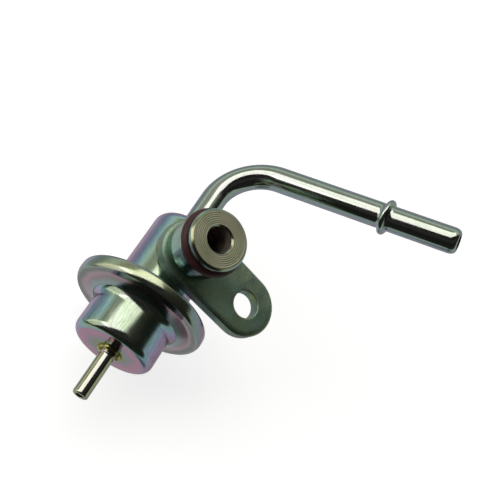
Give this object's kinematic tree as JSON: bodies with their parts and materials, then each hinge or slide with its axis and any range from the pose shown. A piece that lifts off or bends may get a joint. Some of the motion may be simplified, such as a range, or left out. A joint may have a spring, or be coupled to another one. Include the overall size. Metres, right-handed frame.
{
  "type": "fuel pressure regulator",
  "caption": "Fuel pressure regulator with a crimped can, a flanged O-ring inlet, a bent return tube, a vacuum nipple and a spring loaded diaphragm valve inside.",
  "frame": {"origin": "on the inlet's axis at the front face of the mounting plate", "axes": "+Z runs out along the inlet, +X runs along the can from the vacuum nipple to the return tube, and the plate's bolt lobe is at -Y"},
  "size_m": [0.084, 0.0686, 0.0627],
  "materials": {
    "can_steel": "zinc plate with an iridescent chromate film",
    "plate_steel": "zinc plate with an olive chromate film",
    "spigot_steel": "turned, zinc plate with a chromate film",
    "tube_steel": "drawn, zinc plate with an iridescent chromate film",
    "cover_steel": "deep drawn, zinc plate with an iridescent chromate film",
    "nipple_steel": "zinc plate with a chromate film",
    "braze": "brazed fillet under a chromate film",
    "ring_rubber": "moulded rubber with a film of oil",
    "diaphragm_rubber": "rubber on cloth",
    "seat_brass": "turned",
    "valve_steel": "turned and bright",
    "ball_steel": "ground and polished",
    "spring_steel": "drawn spring wire"
  },
  "bodies": {
    "base": {"fuel_chamber_can": "can_steel", "mounting_plate": "plate_steel", "plate_braze": "braze", "inlet_spigot": "spigot_steel", "o_ring": "ring_rubber", "return_tube": "tube_steel", "tube_braze": "braze", "valve_seat": "seat_brass", "spring_cover": "cover_steel", "vacuum_nipple": "nipple_steel", "nipple_braze": "braze", "diaphragm": "diaphragm_rubber", "main_spring": "spring_steel"},
    "valve_lifter": {"valve_holder": "valve_steel", "ball_spring": "spring_steel", "ball_retainer": "valve_steel", "spring_seat": "valve_steel"},
    "valve_poppet": {"valve_ball": "ball_steel", "valve_disc": "ball_steel"}
  },
  "joints": [
    {"name": "valve_lift", "type": "slide", "parent": "base", "child": "valve_lifter", "axis": [-1, 0, 0], "range_m": [0, 0.0006], "stiffness_N_per_m": 11000, "deforming": ["main_spring", "diaphragm"]},
    {"name": "valve_swivel", "type": "hinge", "parent": "valve_lifter", "child": "valve_poppet", "pos_m": [-0.0111, 0, -0.01255], "axis": [0, 1, 0], "range_deg": [-1.5, 1.5]}
  ]
}
